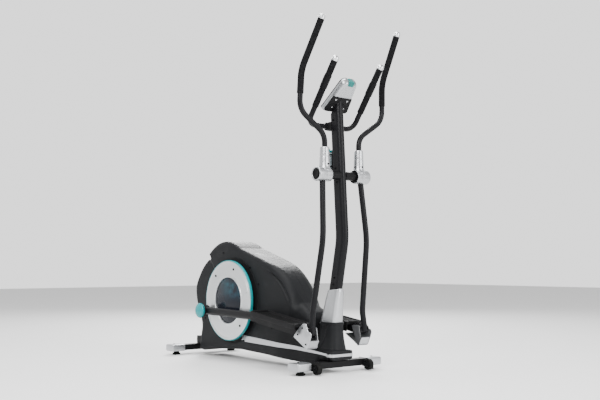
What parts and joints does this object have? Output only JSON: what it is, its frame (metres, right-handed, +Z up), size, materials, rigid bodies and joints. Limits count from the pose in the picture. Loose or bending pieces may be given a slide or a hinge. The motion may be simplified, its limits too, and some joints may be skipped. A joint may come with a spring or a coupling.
{
  "type": "elliptical trainer",
  "caption": "Rear-drive elliptical trainer with swinging arms, pedal bars with footplates, a fixed handlebar with pulse sensors, a small console, bottle and cage.",
  "frame": {"origin": "under the middle of the machine, on the floor, in its symmetry plane", "axes": "+Z up, +X forward (the way the user faces, towards the column), +Y to the user's left"},
  "size_m": [1.344, 0.5298, 1.572],
  "materials": {
    "frame_black": "satin",
    "tube_grey": "satin",
    "shroud_black": "matte",
    "silver_plastic": "satin",
    "teal_plastic": "gloss",
    "dome_black": "gloss",
    "foam": "matte",
    "rubber": "matte",
    "steel": "satin",
    "cast": "satin",
    "chrome_cap": "polished",
    "console_black": "matte",
    "console_grey": "satin",
    "screen": "gloss",
    "bottle_plastic": "satin"
  },
  "bodies": {
    "frame": {"base_frame": "frame_black", "crank_bearings": "steel", "front_stabilizer": "frame_black", "rear_stabilizer": "frame_black", "stabilizer_caps": "silver_plastic", "foot_pads": "rubber", "wheel_forks": "frame_black", "column": "tube_grey", "column_cover": "silver_plastic", "front_cover": "shroud_black", "shroud_right": "shroud_black", "shroud_left": "shroud_black", "trim_strip": "silver_plastic", "cover_screws": "steel", "flywheel_axle": "steel", "drive_belt": "rubber", "pivot_axle": "frame_black", "axle_plugs": "shroud_black", "fixed_handlebar": "tube_grey", "handlebar_clamp": "shroud_black", "fixed_grips": "foam", "pulse_sensors": "steel", "handlebar_caps": "chrome_cap", "console_plate": "console_black", "console_back": "console_grey", "console_front": "console_black", "console_screen": "screen", "bottle_cage": "frame_black"},
    "right_wheel": {"wheel_right": "rubber"},
    "left_wheel": {"wheel_left": "rubber"},
    "flywheel": {"flywheel": "cast"},
    "brake": {"brake_arm": "steel"},
    "crank": {"crank_axle": "steel", "drive_pulley": "shroud_black", "crank_discs": "silver_plastic", "disc_rims": "teal_plastic", "disc_domes": "dome_black"},
    "right_arm": {"lower_arm_right": "tube_grey", "tee_cover_right": "silver_plastic", "handle_right": "tube_grey", "grip_right": "foam", "handle_cap_right": "chrome_cap"},
    "right_pedal": {"pedal_bar_right": "tube_grey", "pedal_pins_right": "steel", "pin_cap_right": "teal_plastic", "footplate_right": "shroud_black", "joint_cover_right": "silver_plastic"},
    "left_arm": {"lower_arm_left": "tube_grey", "tee_cover_left": "silver_plastic", "handle_left": "tube_grey", "grip_left": "foam", "handle_cap_left": "chrome_cap"},
    "left_pedal": {"pedal_bar_left": "tube_grey", "pedal_pins_left": "steel", "pin_cap_left": "teal_plastic", "footplate_left": "shroud_black", "joint_cover_left": "silver_plastic"},
    "mode_button": {"mode_button": "console_grey"},
    "set_button": {"set_button": "console_grey"},
    "bottle": {"bottle": "bottle_plastic"}
  },
  "joints": [
    {"name": "right_arm_swing", "type": "hinge", "parent": "frame", "child": "right_arm", "pos_m": [0.523, -0.115, 0.89], "axis": [0, -1, 0], "range_deg": [-1.4, 27.8]},
    {"name": "right_bar_tilt", "type": "hinge", "parent": "right_arm", "child": "right_pedal", "pos_m": [0.481, -0.156, 0.182], "axis": [0, -1, 0], "range_deg": [-28, 2]},
    {"name": "right_wheel_spin", "type": "hinge", "parent": "frame", "child": "right_wheel", "pos_m": [0.531, -0.154, 0.028], "axis": [0, 1, 0], "continuous": true},
    {"name": "left_arm_swing", "type": "hinge", "parent": "frame", "child": "left_arm", "pos_m": [0.523, 0.115, 0.89], "axis": [0, -1, 0], "range_deg": [-1.4, 27.8]},
    {"name": "left_bar_tilt", "type": "hinge", "parent": "left_arm", "child": "left_pedal", "pos_m": [0.481, 0.156, 0.182], "axis": [0, -1, 0], "range_deg": [-28, 2]},
    {"name": "left_wheel_spin", "type": "hinge", "parent": "frame", "child": "left_wheel", "pos_m": [0.531, 0.154, 0.028], "axis": [0, 1, 0], "continuous": true},
    {"name": "crank_spin", "type": "hinge", "parent": "frame", "child": "crank", "pos_m": [-0.221, 0, 0.303], "axis": [0, 1, 0], "continuous": true},
    {"name": "flywheel_spin", "type": "hinge", "parent": "frame", "child": "flywheel", "pos_m": [0.101, -0.019, 0.288], "axis": [0, 1, 0], "continuous": true},
    {"name": "brake_swing", "type": "hinge", "parent": "frame", "child": "brake", "pos_m": [0.153, -0.019, 0.147], "axis": [0, 1, 0], "range_deg": [0, 5]},
    {"name": "mode_button_press", "type": "slide", "parent": "frame", "child": "mode_button", "axis": [0.7193, 0, -0.6947], "range_m": [0, 0.0015], "stiffness_N_per_m": 400},
    {"name": "set_button_press", "type": "slide", "parent": "frame", "child": "set_button", "axis": [0.7193, 0, -0.6947], "range_m": [0, 0.0015], "stiffness_N_per_m": 400},
    {"name": "bottle_lift", "type": "slide", "parent": "frame", "child": "bottle", "axis": [0, 0, 1], "range_m": [0, 0.06]}
  ],
  "couplings": [
    {"joint": "right_bar_tilt", "follows": "right_arm_swing", "ratio": -0.9622},
    {"joint": "left_bar_tilt", "follows": "left_arm_swing", "ratio": -0.9622},
    {"joint": "flywheel_spin", "follows": "crank_spin", "ratio": 5}
  ]
}
